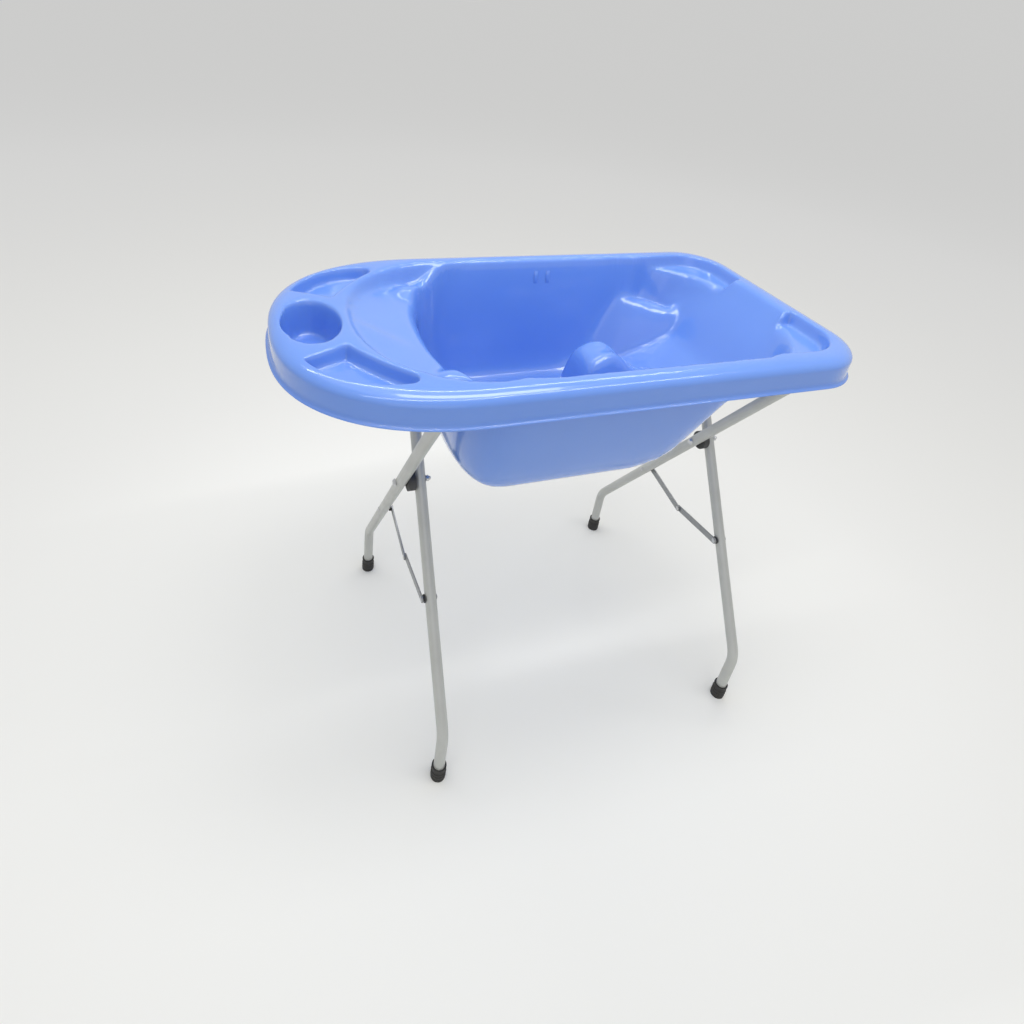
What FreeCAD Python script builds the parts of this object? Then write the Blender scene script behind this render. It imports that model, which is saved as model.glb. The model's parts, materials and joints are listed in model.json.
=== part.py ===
"""Baby bathtub on a folding scissor stand: a moulded tub resting on the top bars of two crossed tube frames.

+X runs along the tub from the cup end (foot) to the backrest (head), +Y to the rear, +Z up. Millimetres.
The origin is the middle of the object on the floor.
"""
import FreeCAD, Part
import Sketcher
import math
import os
from FreeCAD import Placement, Rotation, Vector

SIZES = [
    # the tub
    ("tub_length", 984, "tub over the lip"),
    ("tub_width", 514, "tub over the lip"),
    ("rim_top", 876, "top of the rim above the floor"),
    ("rim_drop", 50, "height of the outer skirt"),
    ("rim_round", 14, "rounding of the rim's outer shoulder"),
    ("tub_wall", 3, "wall of the moulding"),
    ("lip_out", 5, "how far the lip stands out of the skirt"),
    ("foot_length", 300, "length of the rounded foot end"),
    ("head_corner", 105, "corner radius at the head end"),
    ("rim_width", 44, "long rim, from the lip to the basin"),
    ("basin_depth", 247, "rim top to basin floor"),
    ("floor_length", 345, "flat floor of the basin"),
    ("floor_width", 320, "flat floor of the basin"),
    ("cup_depth", 60, "depth of the cup recess"),
    ("tray_depth", 24, "depth of the soap trays"),
    ("hump_height", 156, "height of the crotch post over the floor"),
    ("armrest_height", 156, "height of the armrests over the floor"),
    ("drain_radius", 14, "radius of the drain hole"),
    ("plug_flange", 20, "radius of the plug's flange"),
    # the stand
    ("tube_radius", 11, "outside radius of the stand's tubes"),
    ("tube_wall", 1.5, "wall of the tubes"),
    ("frame_width", 664, "between the two legs of a frame, centre to centre"),
    ("frame_gap", 15, "between the tubes of crossing legs"),
    ("frame_left", -264, "rear frame's left leg, from the origin"),
    ("foot_spread", 270, "feet from the middle, across"),
    ("bar_spread", 233, "top bars from the middle, across"),
    ("bend_height", 130, "where the lower legs bend upright"),
    ("foot_bend", 70, "radius of the lower bend"),
    ("corner_bend", 45, "radius of the bend into the top bar"),
    ("corner_reach", 95, "leg's turned-in end, from the leg's centre"),
    ("spigot_length", 40, "swaged end inside the top bar"),
    ("cap_radius", 14.5, "outside radius of the rubber feet"),
    ("cap_height", 36, "height of the rubber feet"),
    ("cap_floor", 7, "rubber under the tube's end"),
    ("bolt_radius", 3, "radius of the pivot bolts"),
    ("bolt_head", 8, "radius of the pivot bolts' heads"),
    ("spacer_radius", 20, "radius of the pivot spacers"),
    ("brace_height", 340, "brace pins above the floor"),
    ("brace_sag", 20, "knuckle below the line of the brace pins"),
    ("link_width", 14, "width of the brace links"),
    ("link_thick", 2.5, "thickness of the brace links"),
    ("rivet_radius", 2.5, "radius of the rivets' shanks"),
    ("rivet_head", 5, "radius of the rivets' heads"),
    ("boss_radius", 8, "radius of the brace bosses"),
    # clearances
    ("seat_gap", 0.3, "between pieces that rest on each other"),
    ("run_gap", 0.05, "radial clearance of a shaft in its hole"),
]

doc = FreeCAD.newDocument("baby_bathtub")
sheet = doc.addObject("Spreadsheet::Sheet", "Dimensions")
for row, (alias, value, note) in enumerate(SIZES, 1):
    sheet.set("A%d" % row, note)
    sheet.set("B%d" % row, str(value))
    sheet.setAlias("B%d" % row, alias)
doc.recompute()
D = {alias: float(sheet.get(alias)) for alias, _, _ in SIZES}
subparts = []


# ---------------------------------------------------------------- helpers

def keep(obj, label, place=None):
    """Registers a finished sub-part under its node name."""
    obj.Label = label
    if place is not None:
        obj.Placement = place
    subparts.append(obj)
    return obj


def bound(kind, name, sizes, place=None):
    """A Part primitive whose properties follow expressions over the sheet."""
    obj = doc.addObject(kind, name)
    for prop, formula in sizes.items():
        obj.setExpression(prop, formula)
    if place is not None:
        obj.Placement = place
    return obj


def fuse(name, objs):
    """A multi-fuse of document objects."""
    obj = doc.addObject("Part::MultiFuse", name)
    obj.Shapes = objs
    return obj


def cut(name, base, tool):
    """Base minus tool."""
    obj = doc.addObject("Part::Cut", name)
    obj.Base = base
    obj.Tool = tool
    return obj


def along_x(x, y, z):
    """Placement that turns a primitive's own Z axis to +X at a point."""
    return Placement(Vector(x, y, z), Rotation(Vector(0, 1, 0), 90))


def against_x(x, y, z):
    """Placement that turns a primitive's own Z axis to -X at a point."""
    return Placement(Vector(x, y, z), Rotation(Vector(0, 1, 0), -90))


# ---------------------------------------------------------------- shared places

GAP = D["seat_gap"]
WALL = D["tub_wall"]
RIM_TOP = D["rim_top"]
HALF_LENGTH = D["tub_length"] / 2
HALF_WIDTH = D["tub_width"] / 2
BAR_HEIGHT = RIM_TOP - WALL - GAP - D["tube_radius"]
FLOOR_TOP = RIM_TOP - D["basin_depth"]
LEG_RISE = BAR_HEIGHT - D["bend_height"]
LEG_RUN = D["foot_spread"] + D["bar_spread"]
PIVOT_HEIGHT = D["bend_height"] + LEG_RISE * D["foot_spread"] / LEG_RUN
FRAME_STEP = 2 * D["tube_radius"] + D["frame_gap"]
SIDES = {"left": D["frame_left"], "right": D["frame_left"] + D["frame_width"]}
BRACE_Y = (PIVOT_HEIGHT - D["brace_height"]) * LEG_RUN / LEG_RISE
LINK_LENGTH = math.hypot(BRACE_Y, D["brace_sag"])


# ---------------------------------------------------------------- tub shell

FOOT_X = -HALF_LENGTH
HEAD_X = HALF_LENGTH
OPENING_HALF = HALF_WIDTH - D["rim_width"]
OPENING_FOOT = FOOT_X + 127
OPENING_HEAD = HEAD_X - 50
OPENING_ROUND = 230
OPENING_CORNER = 175
BASIN_FOOT = FOOT_X + 222
BASIN_ROUND = 130
FLOOR_FOOT = BASIN_FOOT + 78
FLOOR_ROUND = 85
FLOOR_CORNER = 60
FLOOR_FILLET = 24
SHELF_TOP = RIM_TOP - 8
SHELF_LOW = RIM_TOP - 34
EPS = 2.0


def outline(z, foot, head, half, round_length, corner, grow=0.0, power=2.4):
    """Closed plan outline: superellipse foot end, straight sides, rounded head corners; grow moves it outwards."""
    foot, head, half = foot - grow, head + grow, half + grow
    round_length, corner = round_length + grow, corner + grow
    start = foot + round_length
    points = []
    for i in range(25):
        turn = math.pi / 2 + math.pi * i / 24
        c, s = math.cos(turn), math.sin(turn)
        along = math.copysign(abs(c) ** (2 / power), c)
        across = math.copysign(abs(s) ** (2 / power), s)
        points.append(Vector(start + round_length * along, half * across, z))
    end = Part.BSplineCurve()
    end.interpolate(Points=points, InitialTangent=Vector(-1, 0, 0), FinalTangent=Vector(1, 0, 0))
    k = math.sqrt(0.5)
    a = Vector(start, -half, z)
    b = Vector(head - corner, -half, z)
    b_mid = Vector(head - corner + corner * k, -half + corner - corner * k, z)
    c1 = Vector(head, -half + corner, z)
    c2 = Vector(head, half - corner, z)
    d_mid = Vector(head - corner + corner * k, half - corner + corner * k, z)
    d = Vector(head - corner, half, z)
    e = Vector(start, half, z)
    edges = [end.toShape(), Part.LineSegment(a, b).toShape(), Part.Arc(b, b_mid, c1).toShape(),
             Part.LineSegment(c1, c2).toShape(), Part.Arc(c2, d_mid, d).toShape(),
             Part.LineSegment(d, e).toShape()]
    return Part.Wire(edges)


def slab(wire, height):
    """The prism over a closed wire."""
    return Part.Face(wire).extrude(Vector(0, 0, height))


def rim_outline(z, grow):
    """The tub's own plan outline; grow 0 is the lip's edge."""
    return outline(z, FOOT_X, HEAD_X, HALF_WIDTH, D["foot_length"], D["head_corner"], grow)


def top_edges(shape, z):
    """The edges of a prism's top face."""
    return [e for e in shape.Edges if abs(e.BoundBox.ZMin - z) < 0.01 and abs(e.BoundBox.ZMax - z) < 0.01]


def rim_shell():
    """Deck, rounded shoulder, outer skirt and its small lip, open below."""
    low = RIM_TOP - D["rim_drop"]
    outer = slab(rim_outline(low, -D["lip_out"]), D["rim_drop"])
    outer = outer.makeFillet(D["rim_round"], top_edges(outer, RIM_TOP))
    lip = slab(rim_outline(low, 0), WALL)
    void_top = RIM_TOP - WALL
    void = slab(rim_outline(low - EPS, -D["lip_out"] - WALL), void_top - low + EPS)
    void = void.makeFillet(D["rim_round"] - WALL, top_edges(void, void_top))
    return outer.fuse(lip).cut(void)


def basin(grow, top, floor):
    """The deep basin between two heights, as its cavity (grow 0) or its outside (grow = wall)."""
    head_floor = FLOOR_FOOT + D["floor_length"]
    span = OPENING_HEAD - head_floor
    levels = [
        (top, BASIN_FOOT, OPENING_HEAD, OPENING_HALF, BASIN_ROUND, OPENING_CORNER, 2.2),
        (FLOOR_TOP + 0.45 * D["basin_depth"], BASIN_FOOT + 43, head_floor + 0.64 * span,
         OPENING_HALF - 21, 95, 110, 2.8),
        (FLOOR_TOP + FLOOR_FILLET, FLOOR_FOOT - 14, head_floor + 0.20 * span,
         D["floor_width"] / 2 + 17, FLOOR_ROUND - 10, FLOOR_CORNER + 20, 3.0),
        (floor, FLOOR_FOOT + 4, head_floor, D["floor_width"] / 2, FLOOR_ROUND - 15, FLOOR_CORNER, 3.0),
    ]
    wires = [outline(z, foot, head, half, rnd, corner, grow, power)
             for z, foot, head, half, rnd, corner, power in levels]
    return Part.makeLoft(wires, True, True)


def shelf(grow, top):
    """The shallow sloping shelf in front of the basin at the foot end."""
    plan = slab(outline(SHELF_LOW - 10, OPENING_FOOT, OPENING_HEAD, OPENING_HALF, OPENING_ROUND,
                        OPENING_CORNER, grow, 2.2), top - SHELF_LOW + 10)
    back = OPENING_FOOT - WALL - EPS
    front = FLOOR_FOOT
    low = SHELF_LOW - grow
    high = SHELF_TOP - grow
    corners = [Vector(back, -HALF_WIDTH, high), Vector(front, -HALF_WIDTH, low),
               Vector(front, -HALF_WIDTH, top), Vector(back, -HALF_WIDTH, top)]
    wedge = Part.Face(Part.makePolygon(corners + corners[:1])).extrude(Vector(0, 2 * HALF_WIDTH, 0))
    return plan.common(wedge)


def foot_tray(side):
    """Plan of a foot-end soap tray: it bends round the cup; side is -1 in front and 1 at the rear."""
    def at(x, y):
        return Vector(FOOT_X + x, side * y, 0)
    return Part.Wire([
        Part.Arc(at(44, 112), at(78, 97), at(112, 78)).toShape(),
        Part.Arc(at(112, 78), at(152, 135), at(192, 176)).toShape(),
        Part.Arc(at(192, 176), at(194, 193), at(180, 200)).toShape(),
        Part.Arc(at(180, 200), at(98, 178), at(44, 112)).toShape(),
    ])


def head_tray(side):
    """Plan of a head-end corner tray, a crescent ledge open to the basin's corner."""
    def at(x, y):
        return Vector(HEAD_X - x, side * y, 0)
    return Part.Wire([
        Part.Arc(at(190, 206), at(95, 151), at(55, 62)).toShape(),
        Part.LineSegment(at(55, 62), at(38, 62)).toShape(),
        Part.LineSegment(at(38, 62), at(38, 140)).toShape(),
        Part.Arc(at(38, 140), at(62, 188), at(112, 207)).toShape(),
        Part.LineSegment(at(112, 207), at(190, 206)).toShape(),
    ])


def pockets(grow, top):
    """The cup recess and the four trays, as cavities (grow 0) or their outsides (grow = wall)."""
    shapes = []
    floor = RIM_TOP - D["cup_depth"] - grow
    centre = Vector(FOOT_X + 68, 0, floor)
    cup = Part.Ellipse(centre + Vector(0, 72 + grow, 0), centre + Vector(-47 - grow, 0, 0), centre)
    shapes.append(slab(Part.Wire(cup.toShape()), top - floor))
    floor = RIM_TOP - D["tray_depth"] - grow
    for plan in (foot_tray, head_tray):
        for side in (-1, 1):
            wire = plan(side)
            if grow:
                wire = wire.makeOffset2D(grow, 0, False, False)
            wire.translate(Vector(0, 0, floor))
            shapes.append(slab(wire, top - floor))
    return shapes


HUMP_X = 95
HUMP_BASE = (62, 46)
HUMP_TIP = (24, 18)


def hump(grow, low):
    """The crotch post: an oval frustum on the floor; grow = -wall gives the hollow below it."""
    wires = []
    for z, (long_half, short_half) in ((low, HUMP_BASE), (FLOOR_TOP + D["hump_height"] + grow, HUMP_TIP)):
        oval = Part.Ellipse(Vector(HUMP_X, 0, z), long_half + grow, short_half + grow)
        wires.append(Part.Wire(oval.toShape()))
    return Part.makeLoft(wires, True, True)


ARM_START, ARM_END = 200, 400
ARM_IN = 52


def armrest(side, grow):
    """A bow-fronted prism against one long wall, up to the armrest's top; grow = -wall gives its hollow."""
    back = HALF_WIDTH - D["rim_width"] + 20
    front = OPENING_HALF - ARM_IN - grow
    low = FLOOR_TOP - WALL - EPS
    middle = (ARM_START + ARM_END) / 2
    start, end = ARM_START - grow, ARM_END + grow
    wire = Part.Wire([
        Part.LineSegment(Vector(end, side * back, low), Vector(start, side * back, low)).toShape(),
        Part.Arc(Vector(start, side * back, low), Vector(middle, side * front, low),
                 Vector(end, side * back, low)).toShape(),
    ])
    return slab(wire, D["armrest_height"] + grow + WALL + EPS)


DRAIN_X = -95


def tub_shape():
    """The whole moulding."""
    above = RIM_TOP + EPS
    deck = RIM_TOP - WALL / 2
    basin_outside = basin(WALL, deck, FLOOR_TOP - WALL)
    body = rim_shell().fuse([basin_outside, shelf(WALL, deck)] + pockets(WALL, deck))
    body = body.cut([basin(0, above, FLOOR_TOP), shelf(0, above)] + pockets(0, above))
    arms = [armrest(side, 0).common(basin_outside) for side in (-1, 1)]
    body = body.fuse(arms + [hump(0, FLOOR_TOP - WALL)])
    body = body.cut([armrest(side, -WALL) for side in (-1, 1)] + [hump(-WALL, FLOOR_TOP - WALL - EPS)])
    drain = Part.makeCylinder(D["drain_radius"], WALL + 2 * EPS, Vector(DRAIN_X, 0, FLOOR_TOP - WALL - EPS))
    return body.cut(drain).removeSplitter()


tub = doc.addObject("Part::Feature", "TubShell")
tub.Shape = tub_shape()
keep(tub, "tub_shell")


# ---------------------------------------------------------------- drain plug

plug_parts = [
    bound("Part::Cylinder", "PlugSpigot", {"Radius": "Dimensions.drain_radius - Dimensions.run_gap",
                                           "Height": "Dimensions.tub_wall + 5"},
          Placement(Vector(DRAIN_X, 0, FLOOR_TOP - WALL - 5 + GAP), Rotation())),
    bound("Part::Cylinder", "PlugFlange", {"Radius": "Dimensions.plug_flange", "Height": "3"},
          Placement(Vector(DRAIN_X, 0, FLOOR_TOP + GAP), Rotation())),
    bound("Part::Torus", "PlugRing", {"Radius1": "Dimensions.plug_flange / 2", "Radius2": "1.5"},
          Placement(Vector(DRAIN_X, 0, FLOOR_TOP + GAP + 3 + D["plug_flange"] / 2),
                    Rotation(Vector(1, 0, 0), 90))),
]
keep(fuse("DrainPlug", plug_parts), "drain_plug")


# ---------------------------------------------------------------- stand: legs and top bars

def bent_path(name, points, radii):
    """A path of straight runs joined by tangent arcs, as a document object."""
    edges = []
    start = points[0]
    for i in range(1, len(points) - 1):
        corner = points[i]
        back = (points[i - 1] - corner).normalize()
        ahead = (points[i + 1] - corner).normalize()
        half = math.acos(max(-1.0, min(1.0, back.dot(ahead)))) / 2
        trim = radii[i - 1] / math.tan(half)
        middle = (back + ahead).normalize() * (radii[i - 1] / math.sin(half) - radii[i - 1])
        enter, leave = corner + back * trim, corner + ahead * trim
        edges.append(Part.LineSegment(start, enter).toShape())
        edges.append(Part.Arc(enter, corner + middle, leave).toShape())
        start = leave
    edges.append(Part.LineSegment(start, points[-1]).toShape())
    path = doc.addObject("Part::Feature", name)
    path.Shape = Part.Wire(edges)
    return path


def swept(name, path, radius):
    """A round bar of a bound radius along a path that leaves its start straight up."""
    ring = bound("Part::Circle", name + "Ring", {"Radius": radius})
    ring.Placement = Placement(path.Shape.Vertexes[0].Point, Rotation())
    bar = doc.addObject("Part::Sweep", name)
    bar.Sections = [ring]
    bar.Spine = (path, ["Edge%d" % (i + 1) for i in range(len(path.Shape.Edges))])
    bar.Solid = True
    return bar


def side_hole(name, radius, x, y, z):
    """A drill across a tube, along X."""
    return bound("Part::Cylinder", name, {"Radius": radius, "Height": "4 * Dimensions.tube_radius"},
                 along_x(x - 2 * D["tube_radius"], y, z))


def leg(frame, side, x, feet, inward):
    """One leg of a frame: upright foot, bend, long straight, bend into the top bar, and its swaged spigot.

    feet is the sign of the Y side that the foot stands on; inward the sign of X towards the other leg.
    """
    tag = frame.title() + side.title()
    foot_y, bar_y = feet * D["foot_spread"], -feet * D["bar_spread"]
    points = [Vector(x, foot_y, D["cap_floor"]), Vector(x, foot_y, D["bend_height"]),
              Vector(x, bar_y, BAR_HEIGHT), Vector(x + inward * D["corner_reach"], bar_y, BAR_HEIGHT)]
    path = bent_path(tag + "Path", points, [D["foot_bend"], D["corner_bend"]])
    tube = cut(tag + "Tube", swept(tag + "Outer", path, "Dimensions.tube_radius"),
               swept(tag + "Inner", path, "Dimensions.tube_radius - Dimensions.tube_wall"))
    turn = along_x if inward > 0 else against_x
    root = Vector(x + inward * (D["corner_reach"] - D["spigot_length"] / 2), bar_y, BAR_HEIGHT)
    spigot = bound("Part::Cylinder", tag + "Spigot",
                   {"Radius": "Dimensions.tube_radius - Dimensions.tube_wall - Dimensions.run_gap",
                    "Height": "1.5 * Dimensions.spigot_length"}, turn(*root))
    crimp = bound("Part::Cylinder", tag + "Crimp", {"Radius": "Dimensions.tube_radius - Dimensions.tube_wall / 2",
                                                    "Height": "Dimensions.spigot_length / 2"}, turn(*root))
    bore = bound("Part::Cylinder", tag + "SpigotBore",
                 {"Radius": "Dimensions.tube_radius - 2 * Dimensions.tube_wall",
                  "Height": "2 * Dimensions.spigot_length"}, turn(*(root - Vector(inward * 5, 0, 0))))
    plug = cut(tag + "Swage", fuse(tag + "SwageSolid", [spigot, crimp]), bore)
    brace_y = feet * BRACE_Y
    holes = fuse(tag + "Holes", [
        side_hole(tag + "PivotHole", "Dimensions.bolt_radius + Dimensions.run_gap", x, 0, PIVOT_HEIGHT),
        side_hole(tag + "BraceHole", "Dimensions.rivet_radius + Dimensions.run_gap", x, brace_y,
                  D["brace_height"]),
        bar_rivet_hole(tag, x + inward * (D["corner_reach"] + D["spigot_length"] / 2), bar_y)])
    return keep(cut(tag + "Leg", fuse(tag + "Joined", [tube, plug]), holes), "%s_frame_leg_%s" % (frame, side))


def bar_rivet_hole(tag, x, y):
    """The vertical hole of the rivet that pins a spigot in its top bar."""
    return bound("Part::Cylinder", tag + "BarHole",
                 {"Radius": "Dimensions.rivet_radius + Dimensions.run_gap",
                  "Height": "2 * Dimensions.tube_radius"}, Placement(Vector(x, y, BAR_HEIGHT - 2 * D["tube_radius"]),
                                                                    Rotation()))


def top_bar(frame, x_left, y):
    """The straight bar between a frame's two legs."""
    tag = frame.title() + "Bar"
    start = x_left + D["corner_reach"]
    length = "Dimensions.frame_width - 2 * Dimensions.corner_reach"
    outer = bound("Part::Cylinder", tag + "Outer", {"Radius": "Dimensions.tube_radius", "Height": length},
                  along_x(start, y, BAR_HEIGHT))
    inner = bound("Part::Cylinder", tag + "Inner", {"Radius": "Dimensions.tube_radius - Dimensions.tube_wall",
                                                    "Height": length}, along_x(start, y, BAR_HEIGHT))
    rivet_in = D["corner_reach"] + D["spigot_length"] / 2
    ends = [bar_rivet_hole(tag + side, x, y)
            for side, x in (("Left", x_left + rivet_in), ("Right", x_left + D["frame_width"] - rivet_in))]
    keep(cut(tag, cut(tag + "Pipe", outer, inner), fuse(tag + "Holes", ends)), "%s_frame_top_bar" % frame)
    rivets = [bar_rivet("%sRivet%d" % (tag, i), x, y)
              for i, x in enumerate((x_left + rivet_in, x_left + D["frame_width"] - rivet_in))]
    group = doc.addObject("Part::Compound", tag + "Rivets")
    group.Links = rivets
    keep(group, "%s_frame_bar_rivets" % frame)


def bar_rivet(name, x, y):
    """A blind rivet from below through the top bar and the spigot inside it."""
    under = BAR_HEIGHT - D["tube_radius"]
    shank = bound("Part::Cylinder", name + "Shank", {"Radius": "Dimensions.rivet_radius",
                                                     "Height": "2.5 * Dimensions.tube_wall + 1.5"},
                  Placement(Vector(x, y, under - 1), Rotation()))
    head = bound("Part::Cone", name + "Head", {"Radius1": "0.6 * Dimensions.rivet_head",
                                               "Radius2": "Dimensions.rivet_head", "Height": "1.6"},
                 Placement(Vector(x, y, under - GAP - 1.6), Rotation()))
    return fuse(name, [shank, head])


FRAMES = {"rear": (0.0, 1), "front": (FRAME_STEP, -1)}
for frame_name, (shift, feet_sign) in FRAMES.items():
    for side_name, side_x in SIDES.items():
        leg(frame_name, side_name, side_x + shift, feet_sign, 1 if side_name == "left" else -1)
    top_bar(frame_name, SIDES["left"] + shift, -feet_sign * D["bar_spread"])


# ---------------------------------------------------------------- rubber feet

def foot_cap(frame, side, x, y):
    """A ribbed rubber cap over the end of a leg, with its floor under the tube."""
    tag = frame.title() + side.title() + "Cap"
    at_floor = Placement(Vector(x, y, 0), Rotation())
    body = bound("Part::Cone", tag + "Body", {"Radius1": "Dimensions.cap_radius",
                                              "Radius2": "Dimensions.cap_radius - 1.2",
                                              "Height": "Dimensions.cap_height"}, at_floor)
    pieces = [body]
    for i in range(3):
        rib = bound("Part::Torus", "%sRib%d" % (tag, i), {"Radius1": "Dimensions.cap_radius - 0.6",
                                                          "Radius2": "1.1"},
                    Placement(Vector(x, y, 6 + 8 * i), Rotation()))
        pieces.append(rib)
    collar = bound("Part::Cylinder", tag + "Collar", {"Radius": "Dimensions.cap_radius", "Height": "3"},
                   Placement(Vector(x, y, D["cap_height"] - 3), Rotation()))
    bore = bound("Part::Cylinder", tag + "Bore", {"Radius": "Dimensions.tube_radius + Dimensions.run_gap",
                                                  "Height": "Dimensions.cap_height"},
                 Placement(Vector(x, y, D["cap_floor"]), Rotation()))
    keep(cut(tag, fuse(tag + "Outside", pieces + [collar]), bore), "rubber_foot_%s_%s" % (frame, side))


for frame_name, (shift, feet_sign) in FRAMES.items():
    for side_name, side_x in SIDES.items():
        foot_cap(frame_name, side_name, side_x + shift, feet_sign * D["foot_spread"])


# ---------------------------------------------------------------- scissor pivots

def pivot(side, x):
    """Bolt, spacer and dome nut where the two legs of one side cross; x is the rear frame's leg."""
    tag = "Pivot" + side.title()
    outer_face = x - D["tube_radius"] - GAP
    inner_face = x + FRAME_STEP + D["tube_radius"] + GAP
    head_height = 4.5
    span = inner_face - outer_face
    shank = bound("Part::Cylinder", tag + "Shank", {"Radius": "Dimensions.bolt_radius", "Height": "%f" % (span + 7)},
                  along_x(outer_face, 0, PIVOT_HEIGHT))
    head = bound("Part::Cone", tag + "Head", {"Radius1": "0.6 * Dimensions.bolt_head",
                                              "Radius2": "Dimensions.bolt_head", "Height": "%f" % head_height},
                 along_x(outer_face - head_height, 0, PIVOT_HEIGHT))
    keep(fuse(tag + "Bolt", [shank, head]), "pivot_bolt_%s" % side)

    spacer_x = x + D["tube_radius"] + GAP
    disc = bound("Part::Cylinder", tag + "Disc", {"Radius": "Dimensions.spacer_radius",
                                                  "Height": "Dimensions.frame_gap - 2 * Dimensions.seat_gap"},
                 along_x(spacer_x, 0, PIVOT_HEIGHT))
    bore = bound("Part::Cylinder", tag + "Bore", {"Radius": "Dimensions.bolt_radius + Dimensions.run_gap",
                                                  "Height": "Dimensions.frame_gap"},
                 along_x(spacer_x, 0, PIVOT_HEIGHT))
    rounded = doc.addObject("Part::Fillet", tag + "Round")
    rounded.Base = disc
    rounded.Edges = [(1, 2.0, 2.0), (3, 2.0, 2.0)]
    keep(cut(tag + "Spacer", rounded, bore), "pivot_spacer_%s" % side)

    hexagon = bound("Part::Prism", tag + "Hex", {"Circumradius": "0.8 * Dimensions.bolt_head", "Height": "5"},
                    along_x(inner_face, 0, PIVOT_HEIGHT))
    dome = bound("Part::Cone", tag + "Dome", {"Radius1": "0.66 * Dimensions.bolt_head",
                                              "Radius2": "0.35 * Dimensions.bolt_head", "Height": "4.5"},
                 along_x(inner_face + 5, 0, PIVOT_HEIGHT))
    thread = bound("Part::Cylinder", tag + "Thread", {"Radius": "Dimensions.bolt_radius + Dimensions.run_gap",
                                                      "Height": "%f" % (7 + GAP)},
                   along_x(inner_face, 0, PIVOT_HEIGHT))
    keep(cut(tag + "Nut", fuse(tag + "NutBody", [hexagon, dome]), thread), "pivot_nut_%s" % side)


# ---------------------------------------------------------------- folding braces

KNUCKLE_HEIGHT = D["brace_height"] - D["brace_sag"]
LINK_GAP = GAP


def link_face(x, which):
    """Left face of a brace link; the rear link lies next to the rear leg, the front link beside it."""
    middle = x + FRAME_STEP / 2
    return middle - D["link_thick"] - LINK_GAP / 2 if which == "rear" else middle + LINK_GAP / 2


def brace_link(side, which, x, sign):
    """A flat link from its leg's pin (at Y of the given sign) to the knuckle in the middle."""
    tag = "Brace" + which.title() + side.title()
    body = doc.addObject("PartDesign::Body", tag)
    sketch = body.newObject("Sketcher::SketchObject", tag + "Plan")
    plane = [f for f in body.Origin.OriginFeatures if f.Role == "XY_Plane"][0]
    sketch.AttachmentSupport = (plane, [""])
    sketch.MapMode = "FlatFace"
    radius = D["link_width"] / 2
    up, flat = Vector(0, 0, 1), Vector(LINK_LENGTH, 0, 0)
    ends = [Part.ArcOfCircle(Part.Circle(Vector(0, 0, 0), up, radius), math.pi / 2, 3 * math.pi / 2),
            Part.ArcOfCircle(Part.Circle(flat, up, radius), -math.pi / 2, math.pi / 2)]
    sides = [Part.LineSegment(Vector(0, -radius, 0), flat + Vector(0, -radius, 0)),
             Part.LineSegment(flat + Vector(0, radius, 0), Vector(0, radius, 0))]
    holes = [Part.Circle(centre, up, D["rivet_radius"]) for centre in (Vector(0, 0, 0), flat)]
    sketch.addGeometry(ends + sides + holes, False)
    for first, a, second, b in ((0, 2, 2, 1), (2, 2, 1, 1), (1, 2, 3, 1), (3, 2, 0, 1)):
        sketch.addConstraint(Sketcher.Constraint("Tangent", first, a, second, b))
    sketch.addConstraint(Sketcher.Constraint("Coincident", 0, 3, -1, 1))
    sketch.addConstraint(Sketcher.Constraint("PointOnObject", 1, 3, -1))
    sketch.addConstraint(Sketcher.Constraint("Coincident", 4, 3, 0, 3))
    sketch.addConstraint(Sketcher.Constraint("Coincident", 5, 3, 1, 3))
    span = sketch.addConstraint(Sketcher.Constraint("DistanceX", 0, 3, 1, 3, LINK_LENGTH))
    sketch.renameConstraint(span, "Length")
    wide = sketch.addConstraint(Sketcher.Constraint("Radius", 0, radius))
    sketch.renameConstraint(wide, "EndRadius")
    sketch.setExpression("Constraints.EndRadius", "Dimensions.link_width / 2")
    for hole in (4, 5):
        bore = sketch.addConstraint(Sketcher.Constraint("Radius", hole, D["rivet_radius"]))
        sketch.renameConstraint(bore, "Bore%d" % hole)
        sketch.setExpression("Constraints.Bore%d" % hole, "Dimensions.rivet_radius + Dimensions.run_gap")
    pad = body.newObject("PartDesign::Pad", tag + "Pad")
    pad.Profile = sketch
    pad.setExpression("Length", "Dimensions.link_thick")
    body.Tip = pad
    pin = Vector(link_face(x, which), sign * BRACE_Y, D["brace_height"])
    droop = math.atan2(D["brace_sag"], BRACE_Y)
    # own X runs from the pin to the knuckle, own Z along world X
    along = Vector(0, -sign * math.cos(droop), -math.sin(droop))
    out = Vector(1, 0, 0)
    across = out.cross(along)
    frame = FreeCAD.Matrix(along.x, across.x, out.x, pin.x, along.y, across.y, out.y, pin.y,
                           along.z, across.z, out.z, pin.z, 0, 0, 0, 1)
    keep(body, "brace_link_%s_%s" % (which, side), Placement(frame))


RIVET_HEAD_HEIGHT = 1.4


def rivet_head(name, place):
    """The low tapered head of a rivet, wide end first."""
    return bound("Part::Cone", name, {"Radius1": "Dimensions.rivet_head", "Radius2": "0.6 * Dimensions.rivet_head",
                                      "Height": "%f" % RIVET_HEAD_HEIGHT}, place)


def rivet_shank(name, x_start, x_end, y, z):
    """The shank of a rivet along X between two faces."""
    return bound("Part::Cylinder", name, {"Radius": "Dimensions.rivet_radius",
                                          "Height": "%f" % (x_end - x_start)}, along_x(x_start, y, z))


def rivet(name, label, x_start, x_end, y, z):
    """A rivet along X, headed just outside both given faces."""
    keep(fuse(name, [rivet_shank(name + "Shank", x_start, x_end, y, z),
                     rivet_head(name + "HeadA", against_x(x_start, y, z)),
                     rivet_head(name + "HeadB", along_x(x_end, y, z))]), label)


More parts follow.
